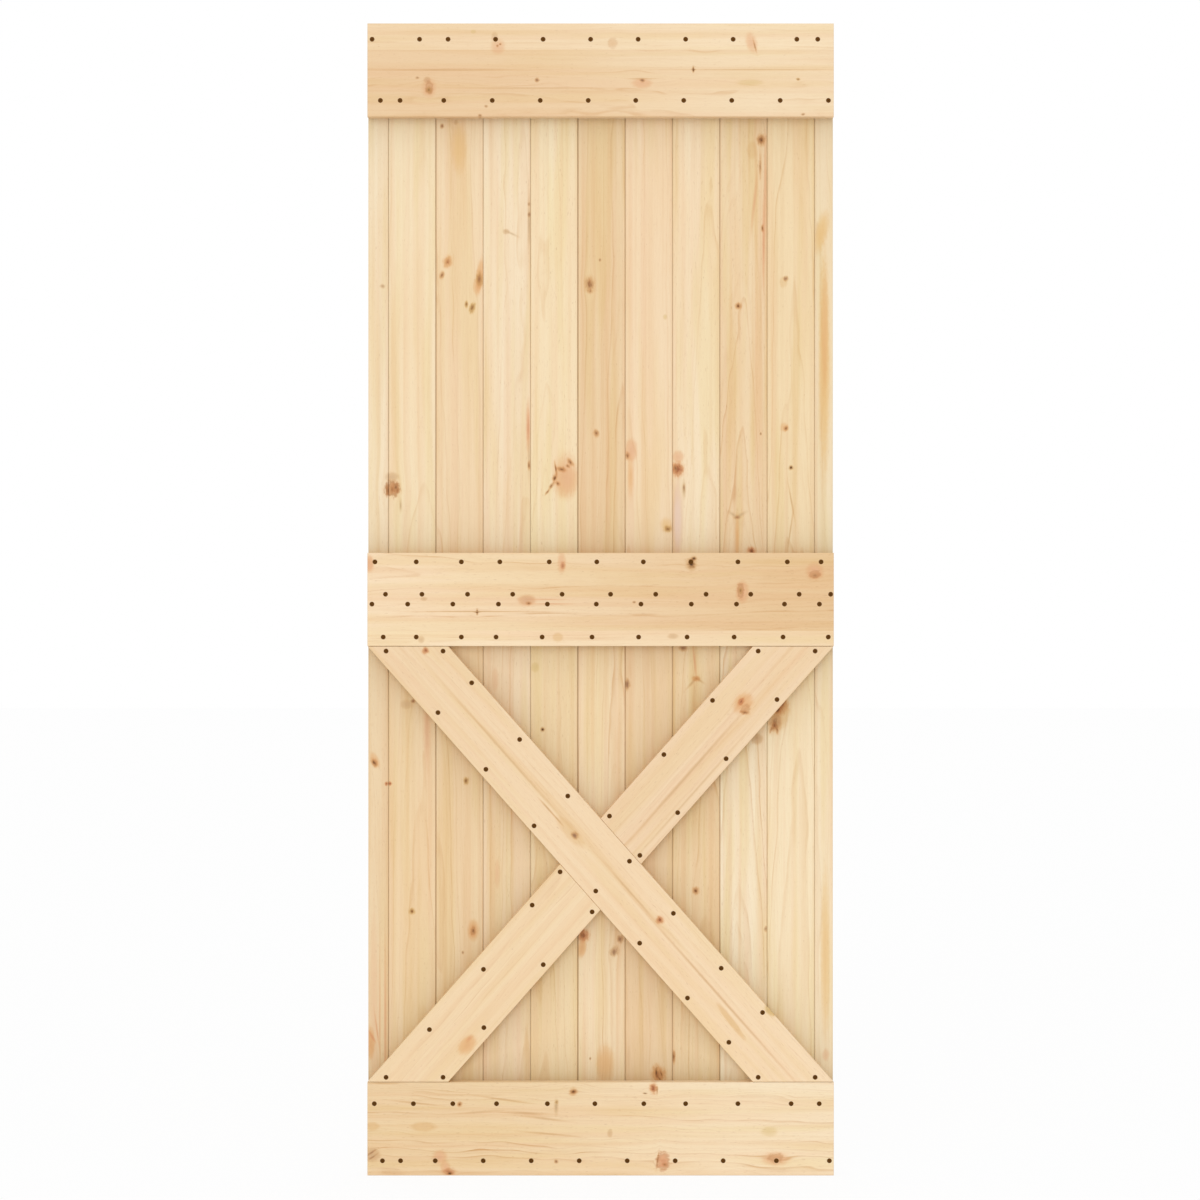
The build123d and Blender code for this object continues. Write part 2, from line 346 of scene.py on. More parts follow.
for way in (1, -1):
    crossing = (low + high) / 2 * mm
    from_line = add_node(tree, "VectorMath", {0: given.outputs["Place"], 1: crossing},
                         operation="SUBTRACT")
    from_line = add_node(tree, "VectorMath",
                         {0: from_line, 1: (way * cos(brace_lean), 0, sin(brace_lean))},
                         operation="DOT_PRODUCT").outputs["Value"]
    from_line = add_node(tree, "Math", {0: from_line}, operation="ABSOLUTE")
    gap = add_node(tree, "Math", {0: from_line, 1: brace_half_mm - less_shade_mm},
                   operation="SUBTRACT")
    gap = add_node(tree, "Math", {0: gap, 1: above_braces}, operation="MAXIMUM")
    nearest = add_node(tree, "Math", {0: nearest, 1: gap}, operation="MINIMUM")
nearest = add_node(tree, "Math", {0: nearest, 1: 0.0}, operation="MAXIMUM")
fading = add_node(tree, "Math", {0: nearest, 1: -1 / shade_reach_mm}, operation="MULTIPLY")
fading = add_node(tree, "Math", {0: fading}, operation="EXPONENT")
in_front = add_node(tree, "Math", {0: place.outputs["Y"], 1: boards_middle_y_mm},
                    operation="LESS_THAN")
fading = add_node(tree, "Math", {0: fading, 1: in_front}, operation="MULTIPLY")
feed(tree, result.inputs["Share"], fading)

# Stains of the marks in the wood. Each has the tint and strength of its halo, the colour and
# strength of its core, of its heart and of its rim, how far the halo reaches in half sizes, and
# how far the grain bows round it in half widths.
mark_kinds = {
    "brown knot": ("#edceaa", 0.9, "#c2905f", 0.85, "#7d4b25", 0.85, "#a8784c", 0.2, 2.2, 1.1),
    "dark knot": ("#e6cfae", 0.9, "#946539", 0.95, "#432a12", 1.00, "#8a5f38", 0.1, 2.3, 1.2),
    "red knot": ("#efc9a6", 0.9, "#c98a5e", 0.85, "#94522f", 0.80, "#a8643c", 0.2, 2.1, 1.1),
    "orange knot": ("#f2d2a8", 0.9, "#d8a066", 0.80, "#a9683a", 0.65, "#bd8450", 0.2, 2.1, 1.1),
    "olive knot": ("#ecd9ac", 0.9, "#c0925c", 0.85, "#86592c", 0.80, "#a37e48", 0.2, 2.1, 1.1),
    "grey knot": ("#ead3b4", 0.9, "#b98c66", 0.80, "#8a6243", 0.75, "#a07a58", 0.1, 2.0, 1.0),
    "mottled knot": ("#eecba6", 0.9, "#cc9869", 0.85, "#b78152", 0.55, "#8f5c36", 0.4, 1.7, 1.0),
    "pale knot": ("#efd0ac", 0.9, "#dbb186", 0.75, "#c5976a", 0.50, "#9d7048", 0.3, 1.7, 1.0),
    "red ring": ("#f0cbae", 0.9, "#dfa982", 0.80, "#cb8860", 0.55, "#9f6547", 0.3, 1.6, 0.9),
    "red streak": ("#f0c8aa", 0.6, "#dfa680", 0.55, "#c9835a", 0.45, "#dfa680", 0.0, 2.2, 0.0),
    "orange streak": ("#f2cea2", 0.6, "#e5b47c", 0.50, "#d79b5c", 0.35, "#e5b47c", 0.0, 2.2, 0.0),
    "grey streak": ("#e9d8be", 0.6, "#c9ac86", 0.55, "#b08f68", 0.50, "#cbb08c", 0.0, 2.2, 0.0),
    "grain line": ("#ead0ab", 0.5, "#cfa87a", 0.60, "#bd9262", 0.40, "#cfa87a", 0.0, 2.2, 0.0),
    "tan patch": ("#f1dcb6", 0.7, "#e4c496", 0.50, "#dcb887", 0.25, "#cda676", 0.1, 1.6, 0.0),
    "pink patch": ("#f3d6bc", 0.8, "#e8bd99", 0.55, "#daa47e", 0.35, "#d9ab84", 0.1, 1.7, 0.0),
    "lilac patch": ("#f1e0d6", 0.8, "#e9d2c4", 0.55, "#e6ccc0", 0.20, "#e9d2c4", 0.0, 1.6, 0.0),
    "grey patch": ("#e9d6ba", 0.8, "#cfae8a", 0.45, "#bf9a74", 0.30, "#b99a76", 0.1, 1.7, 0.0),
    "olive patch": ("#ecdfb4", 0.7, "#dcc48c", 0.45, "#cfb478", 0.30, "#cfb478", 0.1, 1.7, 0.0),
    "orange patch": ("#f3d4aa", 0.8, "#e3b382", 0.60, "#d59c68", 0.35, "#d2a070", 0.1, 1.7, 0.0),
    "honey patch": ("#f1d6a2", 0.7, "#e7c184", 0.60, "#e0b06e", 0.35, "#e7c184", 0.0, 1.7, 0.0),
}


def turned(point, turn):
    """A point in the leaf's frame as across, depth and along the grain, which leans by turn."""
    return Vector((
        point.x * cos(turn) + point.z * sin(turn),
        point.y,
        point.z * cos(turn) - point.x * sin(turn),
    ))


# Mottling that makes the edges of knots ragged: its size across, in depth and along, in mm. The
# edges of soft patches and streaks are smoother by a share.
mottle_mm = (5, 9, 12)
smoother_share = 0.35
# How far apart in the noise two pieces of wood lie, and a glued strip from the rest of its rail
next_tree_mm = (371.0, 97.0, 1409.0)
strip_shift_mm = (0, 31, 613)
# Sanded early wood is matte, and the late wood in it a little smoother; the fibre stands proud
early_roughness = 0.66
late_roughness = 0.54
fibre_relief = 0.00004
relief_share = 0.6
planed_specular = 0.3
end_grain_tint = "#e0c49c"
end_grain_share = 0.8
# Painted shade: the share and tint of the soft shade on the boards beside the rails and braces, and
# the tint of the shade painted on the arrises at the joints
painted_shade_share = 0.9
arris_shade_tint = "#c3a98c"
painted_shade_tint = "#d5d2c9"


def planed_pine(node_name, turn, tones, drift, strip, edges, wood_kind, seed, marks, wander=1.0):
    """Planed raw pine for one CAD node, softly matte, with its own rings, bands and marks.

    The tone drifts along the grain between two places, a glued strip has its own grain, and where
    edges are given, painted shade darkens the arrises of the left and right edge by two shares and
    the front beside the rails and braces.
    """
    late, pith, taper, ring_width, contrast, broken, streaks = wood_kind
    material = bpy.data.materials.new("planed_pine_" + node_name)
    material.use_nodes = True
    tree = material.node_tree
    shader = tree.nodes["Principled BSDF"]
    low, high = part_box(node_name)
    middle = turned((low + high) / 2 * mm, turn)
    place = add_node(tree, "TexCoord")
    grain = add_node(tree, "Mapping",
                     {"Vector": place.outputs["Object"], "Rotation": (0, turn, 0),
                      "Scale": (mm, mm, mm)})
    small = add_node(tree, "VectorMath", {0: grain, 1: [1 / size for size in mottle_mm]},
                     operation="MULTIPLY")
    rough_edge = add_node(tree, "TexNoise",
                          {"Vector": small, "Scale": 1.0, "Detail": 4.0, "Roughness": 0.65})
    ragged = add_node(tree, "Math", {0: rough_edge, 1: 0.5}, operation="SUBTRACT")
    smoother = add_node(tree, "Math", {0: ragged, 1: smoother_share}, operation="MULTIPLY")
    push = 0.0
    distances = []
    for kind, from_left, from_top, half_width, half_length, strength, *tilt in marks:
        spot = Vector((leaf_left_mm + from_left, 0, leaf_top_mm - from_top))
        bow = mark_kinds[kind][9] * half_width
        knot = add_node(tree, "Group",
                        {"Grain": grain, "Centre": turned(spot, turn),
                         "Half Size": (half_width, 1, half_length), "Tilt": -radians(sum(tilt)),
                         "Bow": bow, "Push": push, "Ragged": ragged if bow else smoother},
                        node_tree=grain_round_knot)
        distances.append(knot.outputs["Distance"])
        if bow:
            push = knot.outputs["Push"]
    part = add_node(tree, "SeparateXYZ", {0: grain})
    drifted = add_node(tree, "MapRange",
                       {"Value": part.outputs["Z"], "From Min": drift[0], "From Max": drift[1]},
                       interpolation_type="SMOOTHSTEP")
    tone = add_node(tree, "Mix", {"Factor": drifted, "A": linear(tones[0]), "B": linear(tones[1])},
                    data_type="RGBA")
    wood_place = grain
    if strip:
        strip_top, strip_bottom, strip_tone, strip_share = strip
        strip_middle = leaf_top_mm - (strip_top + strip_bottom) / 2
        inside = add_node(tree, "Math",
                          {0: part.outputs["X"], 1: -strip_middle,
                           2: (strip_bottom - strip_top) / 2},
                          operation="COMPARE")
        share = add_node(tree, "Math", {0: inside, 1: strip_share}, operation="MULTIPLY")
        tone = add_node(tree, "Mix", {"Factor": share, "A": tone, "B": linear(strip_tone)},
                        data_type="RGBA")
        other_tree = add_node(tree, "VectorMath", {0: inside, 1: strip_shift_mm},
                              operation="MULTIPLY")
        wood_place = add_node(tree, "VectorMath", {0: grain, 1: other_tree}, operation="ADD")
    wood = add_node(tree, "Group",
                    {"Grain": wood_place, "Push": push,
                     "Seed": [seed * apart for apart in next_tree_mm],
                     "Pith": (middle.x + pith[0], middle.y + pith[1], middle.z),
                     "Ring Width": ring_width, "Taper": taper, "Broken": broken, "Tone": tone,
                     "Late": linear(late), "Contrast": contrast, "Streaks": streaks,
                     "Wander": wander},
                    node_tree=pine_grain)
    colour = wood.outputs["Colour"]
    for mark, distance in zip(marks, distances):
        (halo, halo_share, core, core_share, heart, heart_share, rim, rim_share, reach,
         bow) = mark_kinds[mark[0]]
        strength = mark[5]
        stained = add_node(tree, "Group",
                           {"Colour": colour, "Distance": distance, "Reach": reach,
                            "Halo": linear(halo), "Halo Strength": halo_share * strength,
                            "Core": linear(core), "Core Strength": core_share * strength,
                            "Heart": linear(heart), "Heart Strength": heart_share * strength,
                            "Rim": linear(rim), "Rim Strength": rim_share * strength},
                           node_tree=knot_stain)
        colour = stained.outputs["Colour"]
    # Sawn ends drink in more light than the planed faces and look a shade darker. Each layer of
    # shade has where it starts and is full, what it is measured by, its share and its tint.
    facing = add_node(tree, "VectorMath",
                      {0: place.outputs["Normal"], 1: (-sin(turn), 0, cos(turn))},
                      operation="DOT_PRODUCT").outputs["Value"]
    endwise = add_node(tree, "Math", {0: facing}, operation="ABSOLUTE")
    layers = [(0.55, 0.9, endwise, end_grain_share, end_grain_tint)]
    if edges:
        # Painted shade darkens the arrises along the joints, deepening the grooves between the
        # boards, and a soft painted shade darkens the boards beside the rails and braces
        face = add_node(tree, "SeparateXYZ", {0: place.outputs["Normal"]})
        slant = add_node(tree, "Math", {0: face.outputs["X"], 1: face.outputs["Y"]},
                         operation="MULTIPLY")
        leaf_place = add_node(tree, "VectorMath", {0: place.outputs["Object"], "Scale": mm},
                              operation="SCALE")
        beside = add_node(tree, "Group", {"Place": leaf_place}, node_tree=painted_shade_beside_frame)
        layers += [
            (0.3, 0.45, slant, edges[0], arris_shade_tint),
            (-0.3, -0.45, slant, edges[1], arris_shade_tint),
            (0.0, 1.0, beside, painted_shade_share, painted_shade_tint),
        ]
    for start, full, measure, share, tint in layers:
        mask = add_node(tree, "MapRange",
                        {"Value": measure, "From Min": start, "From Max": full, "To Max": share})
        colour = add_node(tree, "Mix", {"Factor": mask, "A": colour, "B": linear(tint)},
                          data_type="RGBA", blend_type="MULTIPLY")
    feed(tree, shader.inputs["Base Color"], colour)
    matte = add_node(tree, "MapRange",
                     {"Value": wood.outputs["Late Wood"],
                      "To Min": early_roughness, "To Max": late_roughness})
    feed(tree, shader.inputs["Roughness"], matte)
    relief = add_node(tree, "Bump",
                      {"Height": wood.outputs["Fibre"],
                       "Strength": relief_share, "Distance": fibre_relief})
    feed(tree, shader.inputs["Normal"], relief)
    shader.inputs["Specular IOR Level"].default_value = planed_specular
    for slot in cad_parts[node_name].material_slots:
        slot.material = material


# For each board: its tones above and below the middle rail; its wood, as the late wood's tint,
# the place of the pith from the board's middle in mm (across and depth), taper, ring width,
# strength of the rings, how broken they are and strength of the bands; and its marks. A mark has
# its kind, its place from the leaf's left and top, its half width and half length, its strength
# and, where it leans, its tilt in degrees. One knot is cut through by a joint.
shared_knot = (
    ("grey patch", 43, 826, 10, 7, 0.7),
    ("mottled knot", 44, 848, 12, 12, 0.85),
)
boards = {
    "board_1": ("#f2dfbf", "#ebd2ac", ("#e2c49a", (-50, 70), 0.011, 4.6, 0.25, 0.3, 0.5), (
        ("grey knot", 26, 477, 4.5, 3.0, 0.4),
        *shared_knot,
        ("brown knot", 33.5, 851, 1.6, 6, 0.6),
        ("brown knot", 36, 850, 2.4, 7, 0.6),
        ("orange patch", 12, 1344, 6, 12, 0.6, -25),
        ("brown knot", 11, 1349, 4, 5.5, 1.0, -25),
        ("dark knot", 10.5, 1348, 1.6, 3.0, 0.5, -25),
        ("red knot", 33, 1387, 2.4, 2.6, 1.0),
        ("red streak", 31, 1830, 1.8, 110, 0.6),
        ("red streak", 21, 1810, 1.2, 80, 0.4),
        ("red streak", 16, 1838, 1.2, 26, 0.6, -8),
        ("pink patch", 10, 1790, 6, 140, 0.3),
        ("orange patch", 4, 1862, 6, 22, 0.9),
        ("red streak", 7, 1850, 1.5, 9, 0.8, -30),
    )),
    "board_2": ("#f3dfbc", "#eed4ad", ("#e2c296", (18, 64), 0.018, 4.4, 0.3, 0.3, 0.5), (
        *shared_knot,
        ("brown knot", 43, 849, 1.8, 5, 0.6),
        ("brown knot", 53, 850, 1.4, 6, 0.5, -8),
        ("brown knot", 50, 845, 4, 6.5, 0.8),
        ("grey streak", 59, 878, 1.8, 9, 0.8),
        ("red knot", 40, 1387, 2.4, 2.6, 1.0),
        ("olive knot", 80, 1621, 3.8, 4.2, 1.0),
        ("dark knot", 80, 1621, 1.5, 1.8, 0.5),
        ("grey knot", 82, 1236, 3, 2.6, 0.9),
        ("grey patch", 70, 1242, 9, 7, 0.5),
        ("red streak", 107, 1290, 5, 60, 0.45),
    )),
    "board_3": ("#f0d8b4", "#edd4ad", ("#dfbb8e", (-46, 50), 0.011, 4.0, 0.32, 0.3, 0.5), (
        ("grey knot", 135, 184, 2.8, 3.6, 1.0),
        ("grey patch", 160, 177, 3, 4, 0.6),
        ("honey patch", 166, 222, 11, 38, 0.55),
        ("orange knot", 145.5, 432, 6, 8.5, 0.75, 25),
        ("brown knot", 145, 433, 1.5, 1.8, 0.6),
        ("brown knot", 134.6, 456.5, 3.2, 5.0, 0.75, 15),
        ("orange patch", 204, 458, 5.5, 25, 0.8, 6),
        ("orange patch", 199, 478, 6, 12, 0.5),
        ("olive knot", 203, 464, 5, 10, 0.7),
        ("brown knot", 203, 463, 2.2, 4.5, 0.5),
        ("olive knot", 179.5, 510, 2.2, 4.6, 0.9),
        ("olive knot", 190, 517, 3.8, 7.2, 0.95, 20),
        ("olive knot", 179, 1382, 3.4, 4.8, 1.0),
        ("orange patch", 192, 1655, 8, 15, 0.8),
        ("brown knot", 192, 1656, 3.6, 6.5, 0.85),
        ("grey knot", 173, 1696, 1.6, 2.4, 0.6),
    )),
    "board_4": ("#f3dfbf", "#efd7b5", ("#e3c397", (30, 60), 0.011, 4.8, 0.38, 0.3, 0.65), (
        ("grey patch", 252, 377, 5, 4, 0.7),
        ("grey streak", 263, 381, 1.8, 11, 0.5, 115),
        ("grey streak", 294, 362, 2.0, 38, 0.8),
        ("grey knot", 294, 346, 1.8, 3.5, 0.7),
        ("grey knot", 294, 327, 1.8, 3.0, 0.6),
        ("red streak", 292.5, 735, 2.6, 30, 1.0),
        ("grey streak", 294, 790, 1.8, 34, 0.5),
        ("brown knot", 294, 804, 1.8, 6, 0.8),
        ("pink patch", 232, 1197, 5, 18, 0.35),
        ("pink patch", 236, 1552, 4, 20, 0.4),
    )),
    "board_5": ("#f4e2bf", "#efd8b0", ("#e3c295", (-24, 58), 0.011, 4.4, 0.3, 0.3, 0.5), (
        ("orange patch", 362, 832, 17, 26, 0.45),
        ("pink patch", 361, 822, 18, 32, 0.6),
        ("brown knot", 370, 799, 2.8, 6.0, 0.85, -35),
        ("brown knot", 365, 806, 3.0, 2.2, 0.7, 30),
        ("brown knot", 354, 812, 5.6, 3.2, 0.95, 15),
        ("brown knot", 343, 811, 1.3, 9, 0.9, -10),
        ("brown knot", 341, 827, 3.2, 5.0, 0.8, 25),
        ("brown knot", 347, 838, 3.2, 2.6, 0.8, 40),
        ("brown knot", 335, 842, 2.2, 6, 0.75, 38),
        ("brown knot", 328, 853, 1.6, 5, 0.7, 38),
        ("dark knot", 341, 829, 1.4, 3.0, 0.7, 25),
        ("dark knot", 319, 1288, 2.7, 2.9, 1.0),
        ("olive patch", 305, 1174, 6, 7, 0.6),
    )),
    "board_6": ("#eacfa7", "#f2dcb9", ("#dbb381", (34, 44), 0.011, 3.8, 0.4, 0.3, 0.6), (
        ("grey knot", 424, 429, 1.6, 2.2, 0.6),
        ("brown knot", 405, 473, 6.5, 9.5, 0.7),
        ("brown knot", 405, 470, 1.6, 4.5, 0.5, 8),
        ("brown knot", 406, 486, 3.0, 3.4, 0.6),
        ("brown knot", 417, 746, 3.8, 4.8, 0.85),
        ("orange patch", 391, 1688, 6, 14, 0.9, 10),
        ("red knot", 394, 1664, 7.5, 8.5, 1.0),
        ("brown knot", 391, 1664, 2.6, 5, 0.6),
        ("grey knot", 461, 1671, 4.6, 5.6, 0.9, 20),
        ("grey knot", 450, 1694, 5.6, 7.2, 0.8, 25),
        ("grey knot", 406, 1890, 1.5, 2.0, 0.6),
        ("honey patch", 434, 1902, 14, 28, 0.35),
        ("orange patch", 434, 1900, 13, 28, 0.4),
    )),
    "board_7": ("#f1d8b5", "#ebcfa8", ("#e1bf92", (-40, 56), 0.011, 4.2, 0.3, 0.3, 0.5), (
        ("olive patch", 543, 533, 3, 4, 0.6),
        ("pink patch", 481, 777, 9, 16, 0.8),
        ("orange streak", 480, 826, 4, 26, 0.6),
        ("brown knot", 474, 787, 3.0, 5.0, 0.75),
        ("honey patch", 545, 914, 9, 11, 0.5),
        ("olive knot", 548, 921, 5.0, 4.6, 0.9),
        ("grey knot", 474, 1205, 3.8, 7.2, 1.0),
        ("grey knot", 467, 1177, 2.0, 3.0, 0.5),
        ("orange knot", 531, 1920, 9, 13, 0.95, -12),
        ("dark knot", 527, 1914, 1.6, 8, 0.6),
        ("dark knot", 532, 1926, 1.6, 6, 0.6, -35),
        ("dark knot", 536, 1918, 1.4, 6, 0.35, -20),
    )),
    "board_8": ("#f3dfbe", "#eed5ad", ("#e2c295", (22, 62), 0.018, 4.6, 0.36, 0.3, 0.6), (
        ("pink patch", 567, 789, 8, 9, 0.8),
        ("lilac patch", 566, 905, 8, 60, 0.9),
        ("red knot", 566, 812, 8.5, 9.5, 1.0),
        ("brown knot", 562, 810, 3.0, 6.0, 0.8, -20),
        ("brown knot", 570, 807, 2.0, 3.0, 0.5),
        ("grey streak", 577.5, 848, 2.4, 12, 1.0),
        ("grey knot", 577.5, 845, 1.5, 5, 0.6),
        ("grey knot", 576, 1139, 5.5, 4.5, 0.9),
        ("red streak", 597, 1162, 1.5, 26, 0.6, -6),
        ("grain line", 592, 1203, 1.8, 11, 0.7, 43),
        ("grain line", 606, 1198, 1.8, 8, 0.6, 122),
        ("orange knot", 600, 1195, 5, 3.4, 0.8),
        ("brown knot", 599, 1583, 4.2, 4.8, 1.0),
        ("dark knot", 599, 1583.5, 1.6, 1.8, 0.5),
        ("brown knot", 559, 1887, 2.2, 8, 1.0),
    )),
    "board_9": ("#edd4ae", "#f6e6c8", ("#dcb586", (-14, 46), 0.032, 4.0, 0.5, 0.3, 0.75), (
        ("brown knot", 719, 209, 5.6, 7.0, 1.0),
        ("dark knot", 719.5, 210, 2.4, 3.4, 0.8),
        ("tan patch", 702, 228, 7, 13, 0.6),
        ("brown knot", 717, 258, 1.6, 15, 0.6),
        ("red streak", 726, 300, 1.8, 80, 0.5),
        ("red streak", 706, 325, 2.2, 40, 0.45, 6),
        ("red streak", 723, 400, 1.7, 60, 0.8),
        ("brown knot", 721, 371, 1.8, 4.5, 0.8),
        ("brown knot", 677, 513, 3.8, 4.4, 1.0),
        ("dark knot", 677, 513.5, 1.6, 1.8, 0.6),
        ("grey knot", 718, 747, 1.5, 2.0, 0.7),
        ("grey streak", 668, 895, 2.6, 9, 0.55, 124),
        ("grey streak", 682, 895, 2.6, 9, 0.55, 60),
        ("grey knot", 675, 900, 5.0, 2.4, 0.5),
        ("orange streak", 675, 938, 2.6, 30, 0.8),
        ("red knot", 701, 960, 6, 5, 0.8),
        ("dark knot", 701, 962, 3, 3, 0.5),
        ("grey patch", 711, 1305, 9, 8, 0.9),
        ("grey knot", 727, 1653, 2.6, 4.0, 0.6),
    )),
    "board_10": ("#efd8b0", "#f5e2bf", ("#dfbc8e", (4, 60), 0.018, 4.8, 0.4, 0.3, 0.5), (
        ("tan patch", 759, 470, 6, 8, 0.5),
        ("grey knot", 764, 463, 3.2, 3.8, 0.95),
        ("orange patch", 761, 735, 6, 7, 0.5),
        ("brown knot", 764, 737, 2.8, 3.4, 0.95),
        ("dark knot", 773.5, 809, 2.8, 3.0, 1.0),
        ("grain line", 774, 870, 1.2, 26, 0.7, -10),
        ("grain line", 772, 925, 1.2, 30, 0.7, 8),
        ("tan patch", 752, 1262, 15, 26, 0.9, 15),
        ("orange knot", 757, 1247, 8, 12, 0.6, 25),
        ("brown knot", 745, 1275, 8, 13, 0.55, 15),
        ("brown knot", 750, 1252, 3.0, 6, 0.75, 40),
        ("brown knot", 758, 1242, 2.2, 6, 0.65, 40),
        ("brown knot", 743, 1281, 3.0, 5, 0.7, -20),
        ("brown knot", 738, 1286, 2.0, 7, 0.7, 20),
        ("brown knot", 748, 1288, 2.0, 6, 0.7, -15),
        ("dark knot", 749, 1254, 1.6, 3, 0.6, 40),
    )),
    "board_11": ("#eedbb9", "#f3e1c0", ("#ddb789", (-26, 50), 0.011, 4.2, 0.22, 0.3, 0.5), (
        ("honey patch", 829, 378, 9, 30, 0.7, 12),
        ("honey patch", 834, 620, 8, 165, 0.8),
        ("orange patch", 835, 560, 5, 90, 0.35),
        ("honey patch", 836, 1700, 7, 120, 0.6),
        ("pink patch", 837, 1883, 5, 9, 0.5),
    )),
}
# How much painted shade darkens the arrises at each joint between two boards, from left to right
joint_shade_shares = (0.12, 0.28, 0.06, 0.0, 0.36, 0.10, 0.02, 0.14, 0.02, 0.0)
board_turn = 0.0
board_drift = (leaf_top_mm - 900, leaf_top_mm - 1200)
first_board_seed = 1.7
for number, (name, (upper, lower, wood_kind, marks)) in enumerate(boards.items()):
    edges = (
        joint_shade_shares[number - 1] if number else 0.0,
        joint_shade_shares[number] if number < len(joint_shade_shares) else 0.0,
    )
    planed_pine(name, board_turn, (upper, lower), board_drift, None, edges, wood_kind,
                first_board_seed + number, marks)


# Rails. Three wide pine boards lie across the leaf, screwed to every board behind them. Each is
# glued up of strips, planed and sanded like the boards, with its grain running across the leaf.
rail_turn = -pi / 2
